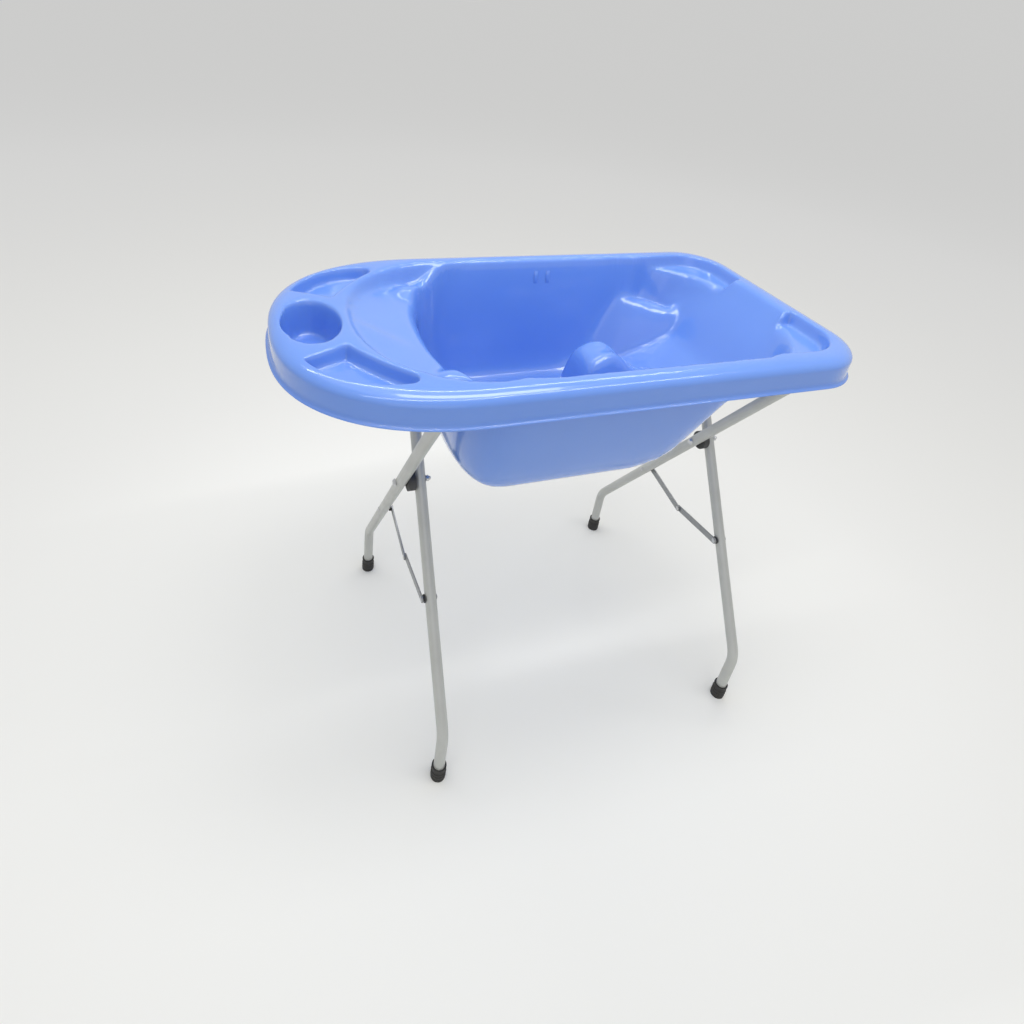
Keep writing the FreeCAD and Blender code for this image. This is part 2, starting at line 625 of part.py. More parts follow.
def stud(name, label, x_start, x_end, y, z):
    """The leg's half of the front brace pin: headed outside the leg, flush with the boss inside."""
    keep(fuse(name, [rivet_shank(name + "Shank", x_start, x_end, y, z),
                     rivet_head(name + "Head", along_x(x_end, y, z))]), label)


def boss(name, label, x_start, x_end, y, z):
    """A round standoff between a leg and a link, seated in a saddle on the leg."""
    body = bound("Part::Cylinder", name + "Body", {"Radius": "Dimensions.boss_radius",
                                                   "Height": "%f" % (x_end - x_start)}, along_x(x_start, y, z))
    bore = bound("Part::Cylinder", name + "Bore", {"Radius": "Dimensions.rivet_radius + Dimensions.run_gap",
                                                   "Height": "%f" % (x_end - x_start)}, along_x(x_start, y, z))
    keep(cut(name, body, bore), label)


def brace(side, x):
    """One side's brace: two bosses, two links and three rivets; x is the rear frame's leg."""
    tag = side.title()
    rear_tube = x + D["tube_radius"]
    front_tube = x + FRAME_STEP - D["tube_radius"]
    rear_link, front_link = link_face(x, "rear"), link_face(x, "front")
    z = D["brace_height"]
    boss("RearBoss" + tag, "brace_boss_rear_%s" % side, rear_tube + GAP, rear_link - GAP, BRACE_Y, z)
    front_boss = front_link + D["link_thick"] + RIVET_HEAD_HEIGHT + 2 * GAP
    boss("FrontBoss" + tag, "brace_boss_front_%s" % side, front_boss, front_tube - GAP, -BRACE_Y, z)
    brace_link(side, "rear", x, 1)
    brace_link(side, "front", x, -1)
    rivet("RearRivet" + tag, "brace_rivet_rear_%s" % side, x - D["tube_radius"] - GAP,
          rear_link + D["link_thick"] + GAP, BRACE_Y, z)
    stud("FrontStud" + tag, "brace_stud_front_%s" % side, front_boss, x + FRAME_STEP + D["tube_radius"] + GAP,
         -BRACE_Y, z)
    rivet("FrontRivet" + tag, "brace_rivet_front_%s" % side, front_link - GAP,
          front_link + D["link_thick"] + GAP, -BRACE_Y, z)
    rivet("KnuckleRivet" + tag, "brace_knuckle_rivet_%s" % side, rear_link - GAP,
          front_link + D["link_thick"] + GAP, 0, KNUCKLE_HEIGHT)


for side_name, side_x in SIDES.items():
    pivot(side_name, side_x)
    brace(side_name, side_x)


# ---------------------------------------------------------------- check and export

doc.recompute()
for obj in doc.Objects:
    if "Invalid" in obj.State or "Error" in obj.State:
        raise RuntimeError("%s failed: %s" % (obj.Name, obj.State))
os.makedirs("parts", exist_ok=True)
for obj in subparts:
    if obj.Shape.isNull() or not obj.Shape.isValid():
        raise RuntimeError("bad shape: " + obj.Label)
for obj in subparts:
    obj.Shape.exportStep("parts/%s.step" % obj.Label)
    print("%-28s %2d solid(s) %12.1f mm3" % (obj.Label, len(obj.Shape.Solids), obj.Shape.Volume))
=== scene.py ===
"""Looks of the baby bathtub on its folding stand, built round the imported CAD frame. Metres, +Z up."""
import json
import math

import bpy
import numpy as np
from mathutils import Matrix, Vector
from mathutils.geometry import delaunay_2d_cdt

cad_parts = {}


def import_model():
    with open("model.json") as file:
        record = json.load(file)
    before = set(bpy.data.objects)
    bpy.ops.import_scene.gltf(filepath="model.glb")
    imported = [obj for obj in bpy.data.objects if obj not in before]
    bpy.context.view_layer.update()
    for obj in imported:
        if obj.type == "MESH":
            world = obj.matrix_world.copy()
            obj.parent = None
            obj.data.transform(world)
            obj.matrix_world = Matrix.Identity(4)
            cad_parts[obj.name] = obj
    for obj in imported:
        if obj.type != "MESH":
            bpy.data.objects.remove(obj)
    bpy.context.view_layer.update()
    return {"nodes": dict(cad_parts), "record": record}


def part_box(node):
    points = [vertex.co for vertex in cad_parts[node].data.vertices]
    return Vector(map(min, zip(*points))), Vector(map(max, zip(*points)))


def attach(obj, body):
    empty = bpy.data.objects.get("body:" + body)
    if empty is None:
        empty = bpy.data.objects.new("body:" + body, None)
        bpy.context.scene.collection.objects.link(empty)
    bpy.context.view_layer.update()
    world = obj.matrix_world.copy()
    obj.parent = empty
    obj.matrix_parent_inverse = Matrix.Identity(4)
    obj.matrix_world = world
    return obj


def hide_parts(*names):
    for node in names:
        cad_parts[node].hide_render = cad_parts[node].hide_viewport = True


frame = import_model()
NODES = frame["nodes"]

# ---------------------------------------------------------------- places read from the frame

TUB_LOW, TUB_HIGH = (np.array(corner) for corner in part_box("tub_shell"))
FOOT_X, HEAD_X = TUB_LOW[0], TUB_HIGH[0]
HALF_WIDTH = (TUB_HIGH[1] - TUB_LOW[1]) / 2
RIM_TOP = TUB_HIGH[2]
WALL = 0.003
FLOOR_TOP = TUB_LOW[2] + WALL
DEPTH = RIM_TOP - FLOOR_TOP
PLUG = sum(np.array(corner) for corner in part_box("drain_plug")) / 2

# the moulding's driving sizes
RIM_DROP = 0.050
LIP_OUT = 0.005
RIM_ROUND = 0.014
RIM_WIDTH = 0.044
FOOT_LENGTH = 0.300
HEAD_CORNER = 0.105
OPENING_HALF = HALF_WIDTH - RIM_WIDTH
OPENING_FOOT = FOOT_X + 0.127
OPENING_HEAD = HEAD_X - 0.050
BASIN_FOOT = FOOT_X + 0.222
FLOOR_FOOT = BASIN_FOOT + 0.078
FLOOR_HEAD = FLOOR_FOOT + 0.345
FLOOR_HALF = 0.160
DRAIN_RADIUS = 0.014


def smooth(t):
    """Smoothstep, clamped to 0..1."""
    t = np.clip(t, 0.0, 1.0)
    return t * t * (3 - 2 * t)


# ---------------------------------------------------------------- plan outlines

def outline(foot, head, half, round_length, corner, power, grow=0.0, samples=96):
    """Closed plan loop: superellipse foot end, straight sides, rounded head corners."""
    foot, head, half = foot - grow, head + grow, half + grow
    round_length, corner = round_length + grow, corner + grow
    start = foot + round_length
    turn = np.linspace(math.pi / 2, 1.5 * math.pi, samples)
    c, s = np.cos(turn), np.sin(turn)
    foot_end = np.column_stack([start + round_length * np.sign(c) * np.abs(c) ** (2 / power),
                                half * np.sign(s) * np.abs(s) ** (2 / power)])
    side = np.linspace(start, head - corner, samples // 2)[1:-1]
    quarter = np.linspace(0, math.pi / 2, samples // 4)
    corner_arc = np.column_stack([head - corner + corner * np.sin(quarter),
                                  -half + corner - corner * np.cos(quarter)])
    across = np.linspace(-half + corner, half - corner, samples // 4)[1:-1]
    mirror = corner_arc[::-1] * [1, -1]
    return np.vstack([foot_end, np.column_stack([side, np.full(len(side), -half)]), corner_arc,
                      np.column_stack([np.full(len(across), head), across]), mirror,
                      np.column_stack([side[::-1], np.full(len(side), half)])])


def rim_loop(grow):
    """The tub's own outline; grow 0 is the lip's edge."""
    return outline(FOOT_X, HEAD_X, HALF_WIDTH, FOOT_LENGTH, HEAD_CORNER, 2.4, grow)


def opening_loop():
    """The edge where the rim turns down into the basin and the foot shelf."""
    return outline(OPENING_FOOT, OPENING_HEAD, OPENING_HALF, 0.230, 0.175, 2.2)


# the basin's horizontal sections, from the rim down to the floor:
# share of the depth, foot X, head X, half width, foot rounding, head corner, power of the foot end's curve
SPAN = OPENING_HEAD - FLOOR_HEAD
SECTIONS = np.array([
    [-0.15, BASIN_FOOT - 0.024, OPENING_HEAD + 0.030, OPENING_HALF + 0.012, 0.190, 0.185, 2.2],
    [0.00, BASIN_FOOT + 0.006, OPENING_HEAD, OPENING_HALF, 0.175, 0.175, 2.2],
    [0.15, BASIN_FOOT + 0.026, FLOOR_HEAD + 0.905 * SPAN, OPENING_HALF - 0.007, 0.145, 0.140, 2.4],
    [0.25, BASIN_FOOT + 0.037, FLOOR_HEAD + 0.84 * SPAN, OPENING_HALF - 0.010, 0.125, 0.120, 2.6],
    [0.55, BASIN_FOOT + 0.047, FLOOR_HEAD + 0.66 * SPAN, OPENING_HALF - 0.020, 0.095, 0.085, 2.8],
    [0.90, FLOOR_FOOT - 0.014, FLOOR_HEAD + 0.20 * SPAN, FLOOR_HALF + 0.020, 0.075, 0.070, 3.0],
    [0.96, FLOOR_FOOT - 0.009, FLOOR_HEAD + 0.11 * SPAN, FLOOR_HALF + 0.015, 0.073, 0.065, 3.0],
    [1.00, FLOOR_FOOT + 0.004, FLOOR_HEAD, FLOOR_HALF + 0.003, 0.070, 0.060, 3.0],
])


def section(share):
    """The basin's outline values at a share of its depth."""
    return [np.interp(share, SECTIONS[:, 0], SECTIONS[:, k]) for k in range(1, 7)]


def basin_loop(share):
    """Plan loop of the basin at a share of its depth."""
    return outline(*section(share))


def inside_level(x, y, share):
    """Below 0 inside the basin's section at this share of the depth (array of shares allowed)."""
    foot, head, half, rounding, corner, power = section(share)
    start = foot + rounding
    ax = np.clip((start - x) / rounding, 0, None)
    foot_end = (ax ** power + (np.abs(y) / half) ** power) ** (1 / power) - 1
    cx = np.clip(x - head + corner, 0, None)
    cy = np.clip(np.abs(y) - half + corner, 0, None)
    in_corner = (cx > 0) & (cy > 0)
    round_head = np.where(in_corner, (np.hypot(cx, cy) - corner) / half,
                          np.maximum((x - head) / half, np.abs(y) / half - 1))
    return np.where(x < start, foot_end, round_head)


def basin_share(x, y):
    """How deep the basin is at each point, as a share of its depth; negative just outside it."""
    low, high = np.full_like(x, SECTIONS[0, 0]), np.ones_like(x)
    for _ in range(26):
        middle = (low + high) / 2
        inside = inside_level(x, y, middle) < 0
        low = np.where(inside, middle, low)
        high = np.where(inside, high, middle)
    return low


def arc(a, b, c, count=24):
    """Points of the circular arc through three plan points."""
    (ax, ay), (bx, by), (cx, cy) = a, b, c
    d = 2 * (ax * (by - cy) + bx * (cy - ay) + cx * (ay - by))
    ux = ((ax**2 + ay**2) * (by - cy) + (bx**2 + by**2) * (cy - ay) + (cx**2 + cy**2) * (ay - by)) / d
    uy = ((ax**2 + ay**2) * (cx - bx) + (bx**2 + by**2) * (ax - cx) + (cx**2 + cy**2) * (bx - ax)) / d
    t0, t1, t2 = (math.atan2(p[1] - uy, p[0] - ux) for p in (a, b, c))
    wrap = 2 * math.pi
    forward = (t1 - t0) % wrap < (t2 - t0) % wrap
    sweep = (t2 - t0) % wrap if forward else -((t0 - t2) % wrap)
    turn = t0 + sweep * np.linspace(0, 1, count)
    radius = math.hypot(ax - ux, ay - uy)
    return np.column_stack([ux + radius * np.cos(turn), uy + radius * np.sin(turn)])


def joined(*runs):
    """One closed loop from arcs that share their ends."""
    return np.vstack([run[:-1] for run in runs])


def line(a, b, count=16):
    """Points of a straight run."""
    return np.linspace(a, b, count)


def foot_tray(side):
    """The boomerang tray between the cup, the rim and the basin."""
    def at(x, y):
        return (FOOT_X + x, side * y)
    loop = joined(arc(at(0.044, 0.112), at(0.078, 0.097), at(0.112, 0.078)),
                  arc(at(0.112, 0.078), at(0.152, 0.135), at(0.192, 0.176), 36),
                  arc(at(0.192, 0.176), at(0.194, 0.193), at(0.180, 0.200), 10),
                  arc(at(0.180, 0.200), at(0.098, 0.178), at(0.044, 0.112), 44))
    return round_corners(loop, 0.006)


def head_tray(side):
    """The crescent ledge round a head corner. Its loop runs into the basin, so it is open to it."""
    def at(x, y):
        return (HEAD_X - x, side * y)
    loop = joined(line(at(0.204, 0.210), at(0.196, 0.178)),
                  arc(at(0.196, 0.178), at(0.118, 0.142), at(0.084, 0.074), 48),
                  line(at(0.084, 0.074), at(0.037, 0.074)),
                  line(at(0.037, 0.074), at(0.037, 0.140)),
                  arc(at(0.037, 0.140), at(0.059, 0.192), at(0.114, 0.213)),
                  line(at(0.114, 0.213), at(0.204, 0.210)))
    return round_corners(loop, 0.010)


def cup_loop():
    """The oval cup recess."""
    turn = np.linspace(0, 2 * math.pi, 97)[:-1]
    return np.column_stack([FOOT_X + 0.068 + 0.047 * np.cos(turn), 0.072 * np.sin(turn)])


def resample(loop, step):
    """Even spacing along a closed loop."""
    closed = np.vstack([loop, loop[:1]])
    run = np.concatenate([[0], np.cumsum(np.linalg.norm(np.diff(closed, axis=0), axis=1))])
    where = np.linspace(0, run[-1], max(8, int(run[-1] / step)) + 1)[:-1]
    return np.column_stack([np.interp(where, run, closed[:, k]) for k in (0, 1)])


def round_corners(loop, radius):
    """Softens a loop's corners by averaging along it over about this radius, at an even step."""
    step = 0.002
    even = resample(loop, step)
    reach = max(1, int(radius / step))
    kernel = np.hanning(2 * reach + 3)[1:-1]
    kernel /= kernel.sum()
    wide = np.vstack([even[-reach:], even, even[:reach]])
    return np.column_stack([np.convolve(wide[:, k], kernel, "valid") for k in (0, 1)])


def signed_distance(points, loop):
    """Distance from each plan point to a closed loop, negative inside."""
    a, b = loop, np.roll(loop, -1, axis=0)
    ab = b - a
    best = np.full(len(points), 1e9)
    inside = np.zeros(len(points), dtype=bool)
    x, y = points[:, 0], points[:, 1]
    for (px, py), (dx, dy), (qx, qy) in zip(a, ab, b):
        t = np.clip(((x - px) * dx + (y - py) * dy) / (dx * dx + dy * dy + 1e-18), 0, 1)
        best = np.minimum(best, (x - px - t * dx) ** 2 + (y - py - t * dy) ** 2)
        crosses = (py > y) != (qy > y)
        inside ^= crosses & (x < px + (y - py) * dx / (dy if abs(dy) > 1e-12 else 1e-12))
    best = np.sqrt(best)
    return np.where(inside, -best, best)


def offset_loop(loop, grow):
    """A closed loop moved outwards along its normals."""
    ahead, back = np.roll(loop, -1, axis=0), np.roll(loop, 1, axis=0)
    along = ahead - back
    along /= np.linalg.norm(along, axis=1)[:, None] + 1e-12
    area = np.sum(loop[:, 0] * ahead[:, 1] - ahead[:, 0] * loop[:, 1])
    normal = np.column_stack([along[:, 1], -along[:, 0]]) * np.sign(area)
    return loop + normal * grow


# ---------------------------------------------------------------- the tub's surface, as heights over its plan

# each recess: plan loop, depth, half width of its brink
POCKETS = [(cup_loop(), 0.060, 0.005)]
POCKETS += [(plan(side), 0.024, 0.004) for plan in (foot_tray, head_tray) for side in (-1, 1)]
ARM_TOP = FLOOR_TOP + 0.158
ARM_SLOPE = 2.0
ARM_FRONT_POINTS = 60
EASING_ROUNDS = 6
KNOB_X, KNOB_Y, KNOB_RISE = BASIN_FOOT + 0.042, 0.150, 0.016
SHELF_STEP, SHELF_FALL, CREASE_RISE = 0.009, 0.021, 0.0016
SEAM_WIDTH, SEAM_DEPTH = 0.007, 0.009

# the crotch post's crest along X: height over the floor and half width
CREST = np.array([
    [0.040, -0.020, 0.034], [0.054, 0.084, 0.038], [0.062, 0.126, 0.042], [0.074, 0.144, 0.045],
    [0.096, 0.151, 0.046], [0.120, 0.150, 0.044], [0.143, 0.137, 0.039], [0.168, 0.116, 0.034],
    [0.192, 0.102, 0.030], [0.220, 0.096, 0.028], [0.255, 0.088, 0.027], [0.295, 0.068, 0.026],
    [0.335, 0.010, 0.026],
])


def pocket_depth(distance, depth, edge):
    """Depth of a recess at a signed distance from its outline: rounded brink, steep wall, rounded foot."""
    wall = 0.0035
    inward = -distance
    brink = 0.25 * edge * smooth((inward + edge) / (2 * edge))
    fall = (depth - 0.25 * edge) * smooth((inward - 0.0008) / (wall * 2))
    return np.where(inward > -edge, brink + fall, 0.0)


def shelf_height(x, y):
    """The foot shelf: a shallow slope down to the basin, with a soft crease and a low knob to each side."""
    run = (x - OPENING_FOOT) / (BASIN_FOOT - OPENING_FOOT)
    crease_line = (y + 0.8 * (x - OPENING_FOOT - 0.030)) / 0.010
    crease = CREASE_RISE * np.tanh(crease_line) * smooth(run * 3) * smooth((1.1 - run) * 3)
    reach = np.hypot((x - KNOB_X) / 0.031, (np.abs(y) - KNOB_Y) / 0.027)
    knob = KNOB_RISE * smooth(1.35 - reach)
    away = 0.045 * smooth((x - BASIN_FOOT - 0.035) / 0.110)
    return RIM_TOP - SHELF_STEP - SHELF_FALL * np.clip(run, 0, 1.6) - crease + knob + away


def soft_max(a, b, radius):
    """Maximum with a rounded meeting."""
    blend = np.clip(0.5 + 0.5 * (a - b) / radius, 0, 1)
    return a * blend + b * (1 - blend) + radius * blend * (1 - blend)


def soft_min(a, b, radius):
    """Minimum with a rounded meeting."""
    return -soft_max(-a, -b, radius)


def hump_height(x, y):
    """The crotch post: steep towards the feet, with two low ridges running down to the backrest."""
    crest = FLOOR_TOP + np.interp(x, CREST[:, 0], CREST[:, 1])
    half = np.interp(x, CREST[:, 0], CREST[:, 2])
    across = np.abs(y) / half
    top = crest - 0.007 * across**2 - 0.150 * np.clip(across - 0.85, 0, None) ** 1.3 * (half / 0.040)
    ridge = 0.009 * np.exp(-(((np.abs(y) - 0.024) / 0.009) ** 2))
    return top + ridge * smooth((x - 0.075) / 0.04) * smooth((0.200 - x) / 0.04)


def arm_loop(side):
    """Plan of an armrest's top, between a long wall and the backrest, with a bowed front."""
    front = arc((0.190, side * 0.248), (0.282, side * 0.171), (0.392, side * 0.104), ARM_FRONT_POINTS)
    return np.vstack([front, [(0.500, side * 0.104), (0.500, side * 0.300), (0.190, side * 0.300)]])


def armrest_height(points):
    """Both armrests: a low crowned top, and below it a broad facet that falls to the seat."""
    away = np.minimum(signed_distance(points, arm_loop(-1)), signed_distance(points, arm_loop(1)))
    tilt = 0.10 * np.clip(points[:, 0] - 0.280, 0, None)
    flank = ARM_TOP - tilt - ARM_SLOPE * away
    crown = ARM_TOP - tilt + 0.05 * np.clip(-away, 0, 0.1)
    return soft_min(flank, crown, 0.006)


OPENING = opening_loop()
RIM_INNER = rim_loop(-LIP_OUT - RIM_ROUND)
SHOULDER_REACH, SHOULDER_FALL = 0.030, 0.017


def shoulder_drop(inwards):
    """Fall of the rim's rounded shoulder at a distance inwards from the skirt."""
    u = np.clip(1 - inwards / SHOULDER_REACH, 0, 1)
    return SHOULDER_FALL * (1 - np.sqrt(1 - u**2))


def height(points):
    """Height of the moulding's upper surface over plan points inside the rim's shoulder."""
    x, y = points[:, 0], points[:, 1]
    to_rim = -signed_distance(points, RIM_INNER)
    deck = RIM_TOP - shoulder_drop(RIM_ROUND + to_rim)
    for loop, depth, edge in POCKETS:
        deck = deck - pocket_depth(signed_distance(points, loop), depth, edge)
    share = basin_share(x, y)
    bowl = RIM_TOP - DEPTH * share
    arms = np.where(share > 0.02, armrest_height(points), FLOOR_TOP - 0.05)
    seam_ends = (smooth((x - 0.225) / 0.03), smooth((0.375 - x) / 0.02))
    seam = np.exp(-(((arms - bowl) / SEAM_WIDTH) ** 2)) * seam_ends[0] * seam_ends[1]
    bowl = soft_max(bowl, arms, 0.012) - SEAM_DEPTH * seam * (share > 0.3)
    bowl = soft_max(bowl, hump_height(x, y), 0.010)
    outside = smooth((signed_distance(points, OPENING) + 0.005) / 0.009)
    shelf = shelf_height(x, y) * (1 - outside) + (RIM_TOP + 0.02) * outside
    surface = soft_min(soft_min(deck, shelf, 0.004), bowl, 0.006)
    return np.where(to_rim < 0.012, deck, surface)


def drain_loop(radius):
    """A circle round the drain hole."""
    turn = np.linspace(0, 2 * math.pi, 41)[:-1]
    return np.column_stack([PLUG[0] + radius * np.cos(turn), PLUG[1] + radius * np.sin(turn)])


BASIN_GUIDES = (-0.02, 0.01, 0.03, 0.08, 0.14, 0.2, 0.27, 0.34, 0.41, 0.48, 0.55, 0.62, 0.69, 0.76, 0.83, 0.89,
                0.94, 0.97, 0.99, 0.999)
OPENING_GUIDES = (0.006, 0.003, 0.0, -0.003, -0.006, -0.010)
POCKET_GUIDES = (-0.0008, -0.0022, -0.0036, -0.0050, -0.0064, -0.0078, -0.010)
GRID_STEP, GUIDE_CELL = 0.0045, 0.003


def plan_loops():
    """The mesh's guide loops: close together where the surface turns quickly."""
    loops = [RIM_INNER]
    loops += [rim_loop(-LIP_OUT - RIM_ROUND - step) for step in (0.004, 0.009, 0.014)]
    loops += [offset_loop(resample(OPENING, 0.006), step) for step in OPENING_GUIDES]
    for loop, _, edge in POCKETS:
        even = resample(loop, 0.003)
        loops += [offset_loop(even, step) for step in (edge, edge * 0.5, 0.0, *POCKET_GUIDES)]
    loops += [drain_loop(DRAIN_RADIUS + step) for step in (0.0, 0.002, 0.005)]
    loops += [resample(arm_loop(side)[:ARM_FRONT_POINTS], 0.005) for side in (-1, 1)]
    loops += [resample(basin_loop(share), 0.006) for share in BASIN_GUIDES]
    return loops


def fill_points(loops):
    """A fine grid over the plan where no guide loop already runs close by."""
    gx, gy = np.meshgrid(np.arange(FOOT_X, HEAD_X, GRID_STEP), np.arange(-HALF_WIDTH, HALF_WIDTH, GRID_STEP))
    grid = np.column_stack([gx.ravel() + 0.25 * GRID_STEP * (np.arange(gx.size) % 2), gy.ravel()])
    grid = grid[signed_distance(grid, RIM_INNER) < -0.003]
    cells = {(int(px // GUIDE_CELL), int(py // GUIDE_CELL)) for px, py in np.vstack(loops)}
    around = [(i, j) for i in (0, 1, -1) for j in (0, 1, -1)]
    near = [any((int(px // GUIDE_CELL) + i, int(py // GUIDE_CELL) + j) in cells for i, j in around)
            for px, py in grid]
    return grid[~np.array(near)]


def eased(points, faces):
    """A light smoothing of the sheet inside the rim. The shoulder and the drain's edge stay as they are."""
    sides = np.sort(np.array([(f[k], f[k - 1]) for f in faces for k in range(3)]), axis=1)
    edges, uses = np.unique(sides, axis=0, return_counts=True)
    count = np.zeros(len(points))
    np.add.at(count, edges.ravel(), 1)
    free = (signed_distance(points[:, :2], RIM_INNER) < -0.012) & (count > 0)
    free[edges[uses == 1].ravel()] = False
    for _ in range(EASING_ROUNDS):
        total = np.zeros_like(points)
        np.add.at(total, edges[:, 0], points[edges[:, 1]])
        np.add.at(total, edges[:, 1], points[edges[:, 0]])
        mean = total / np.maximum(count, 1)[:, None]
        points = np.where(free[:, None], (points + mean) / 2, points)
    return [tuple(p) for p in points]


# the lip under the skirt: how far out from the tub's outline, and height over the lip's underside
LIP_PROFILE = [(-LIP_OUT + 0.0008, 0.0045), (-LIP_OUT + 0.0025, 0.0032), (-0.0012, 0.0028), (-0.0002, 0.0018),
               (0.0, 0.0009), (-0.0008, 0.0002)]
LIP_HEIGHT = 0.0065


def tub_mesh():
    """The whole moulding's upper surface, its shoulder, skirt and lip, as one open sheet."""
    rim = len(RIM_INNER)
    loops = plan_loops()
    rest = np.vstack(loops[1:])
    rest = rest[signed_distance(rest, RIM_INNER) < -0.0015]
    plan = np.vstack([RIM_INNER, rest, fill_points(loops)])
    edges = [(i, (i + 1) % rim) for i in range(rim)]
    result = delaunay_2d_cdt([Vector(p) for p in plan], edges, [], 1, 1e-5)
    flat = np.array([tuple(v) for v in result[0]])
    centres = np.array([flat[list(f)].mean(axis=0) for f in result[2]])
    in_drain = np.hypot(*(centres - PLUG[:2]).T) < DRAIN_RADIUS
    faces = [tuple(f) for f, hole in zip(result[2], in_drain) if not hole]
    first = {}
    for new, olds in enumerate(result[3]):
        for old in olds:
            if old < rim:
                first[old] = new
    heights = height(flat)
    ring = [first[i] for i in range(rim)]
    vertices = eased(np.column_stack([flat, heights]), faces)
    start_turn = math.acos(1 - RIM_ROUND / SHOULDER_REACH)
    for index in ring:
        vertices[index] = (*vertices[index][:2], RIM_TOP - float(shoulder_drop(RIM_ROUND)))
    inwards = [SHOULDER_REACH * (1 - math.cos(a)) for a in np.linspace(start_turn, 0, 12)[1:]]
    profile = [(-LIP_OUT - reach, -float(shoulder_drop(reach))) for reach in inwards]
    profile += [(-LIP_OUT, z) for z in np.linspace(-SHOULDER_FALL, -RIM_DROP + LIP_HEIGHT, 6)[1:]]
    profile += [(out, -RIM_DROP + rise) for out, rise in LIP_PROFILE]
    previous = ring
    for grow, drop in profile:
        start = len(vertices)
        vertices += [(px, py, RIM_TOP + drop) for px, py in rim_loop(grow)]
        current = list(range(start, start + rim))
        faces += [(previous[i], current[i], current[(i + 1) % rim], previous[(i + 1) % rim])
                  for i in range(rim)]
        previous = current
    return vertices, faces


MARK_PLACES = (-0.190, -0.163, 0.052, 0.079)
MARK_TOP_SHARE, MARK_TALL, MARK_HALF_WIDTH, MARK_PROUD, MARK_SUNK = 0.10, 0.026, 0.0042, 0.0022, 0.0004
MARK_ROWS = 6


def wall_marks():
    """Two pairs of short raised marks under the rim on each long wall, as open strips.

    They lie at the section's full half width, so the pair nearer the foot end is behind the wall's rounding.
    """
    vertices, faces = [], []
    wide = MARK_HALF_WIDTH
    for side in (-1, 1):
        for x in MARK_PLACES:
            base = len(vertices)
            for k in range(MARK_ROWS + 1):
                share = MARK_TOP_SHARE + (MARK_TALL / DEPTH) * k / MARK_ROWS
                half = float(section(share)[2])
                z = RIM_TOP - DEPTH * share
                lift = MARK_PROUD * math.sin(math.pi * k / MARK_ROWS) ** 0.4
                across = ((-wide, MARK_SUNK), (-wide * 0.6, lift), (wide * 0.6, lift), (wide, MARK_SUNK))
                vertices += [(x + dx, side * (half + MARK_SUNK - out), z) for dx, out in across]
            for k in range(MARK_ROWS):
                for j in range(3):
                    a = base + 4 * k + j
                    faces.append((a, a + 1, a + 5, a + 4) if side > 0 else (a, a + 4, a + 5, a + 1))
    return vertices, faces


def new_piece(name, vertices, faces, body, slot, material):
    """A smooth-shaded mesh object riding on a body."""
    mesh = bpy.data.meshes.new(name)
    mesh.from_pydata(vertices, [], faces)
    mesh.validate()
    piece = bpy.data.objects.new(name, mesh)
    bpy.context.collection.objects.link(piece)
    mesh.materials.append(material)
    mesh.shade_smooth()
    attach(piece, body)
    return piece


# ---------------------------------------------------------------- materials

def material(name, color, roughness, metallic=0.0, coat=0.0):
    """A principled material and its node tree."""
    made = bpy.data.materials.new(name)
    made.use_nodes = True
    shader = made.node_tree.nodes["Principled BSDF"]
    shader.inputs["Base Color"].default_value = (*color, 1)
    shader.inputs["Roughness"].default_value = roughness
    shader.inputs["Metallic"].default_value = metallic
    shader.inputs["Coat Weight"].default_value = coat
    return made, made.node_tree, shader


def object_noise(tree, scale, detail=3.0, stretch=(1, 1, 1)):
    """A noise texture in the object's own coordinates."""
    place = tree.nodes.new("ShaderNodeTexCoord")
    mapping = tree.nodes.new("ShaderNodeMapping")
    mapping.inputs["Scale"].default_value = stretch
    noise = tree.nodes.new("ShaderNodeTexNoise")
    noise.inputs["Scale"].default_value = scale
    noise.inputs["Detail"].default_value = detail
    tree.links.new(place.outputs["Object"], mapping.inputs["Vector"])
    tree.links.new(mapping.outputs["Vector"], noise.inputs["Vector"])
    return noise.outputs["Fac"]


def vary(tree, socket, source, low, high):
    """Drives a socket from a 0..1 source between two values or two colours."""
    if isinstance(low, tuple):
        mix = tree.nodes.new("ShaderNodeMix")
        mix.data_type = "RGBA"
        mix.inputs["A"].default_value = (*low, 1)
        mix.inputs["B"].default_value = (*high, 1)
        tree.links.new(source, mix.inputs["Factor"])
        tree.links.new(mix.outputs["Result"], socket)
    else:
        spread = tree.nodes.new("ShaderNodeMapRange")
        spread.inputs["To Min"].default_value = low
        spread.inputs["To Max"].default_value = high
        tree.links.new(source, spread.inputs["Value"])
        tree.links.new(spread.outputs["Result"], socket)


def bump(tree, shader, source, strength, distance):
    """Fine relief from a 0..1 source."""
    node = tree.nodes.new("ShaderNodeBump")
    node.inputs["Strength"].default_value = strength
    node.inputs["Distance"].default_value = distance
    tree.links.new(source, node.inputs["Height"])
    tree.links.new(node.outputs["Normal"], shader.inputs["Normal"])


def tub_plastic():
    """Glossy blue moulded plastic with faint flow mottling and a slightly wavy surface."""
    made, tree, shader = material("tub_plastic", (0.13, 0.28, 0.75), 0.20, coat=0.7)
    shader.inputs["Subsurface Weight"].default_value = 0.08
    shader.inputs["Subsurface Radius"].default_value = (0.004, 0.010, 0.030)
    shader.inputs["Coat Roughness"].default_value = 0.03
    vary(tree, shader.inputs["Base Color"], object_noise(tree, 5, 4),
         (0.116, 0.258, 0.72), (0.154, 0.308, 0.78))
    vary(tree, shader.inputs["Roughness"], object_noise(tree, 40, 5), 0.13, 0.24)
    bump(tree, shader, object_noise(tree, 12, 2), 0.10, 0.004)
    return made


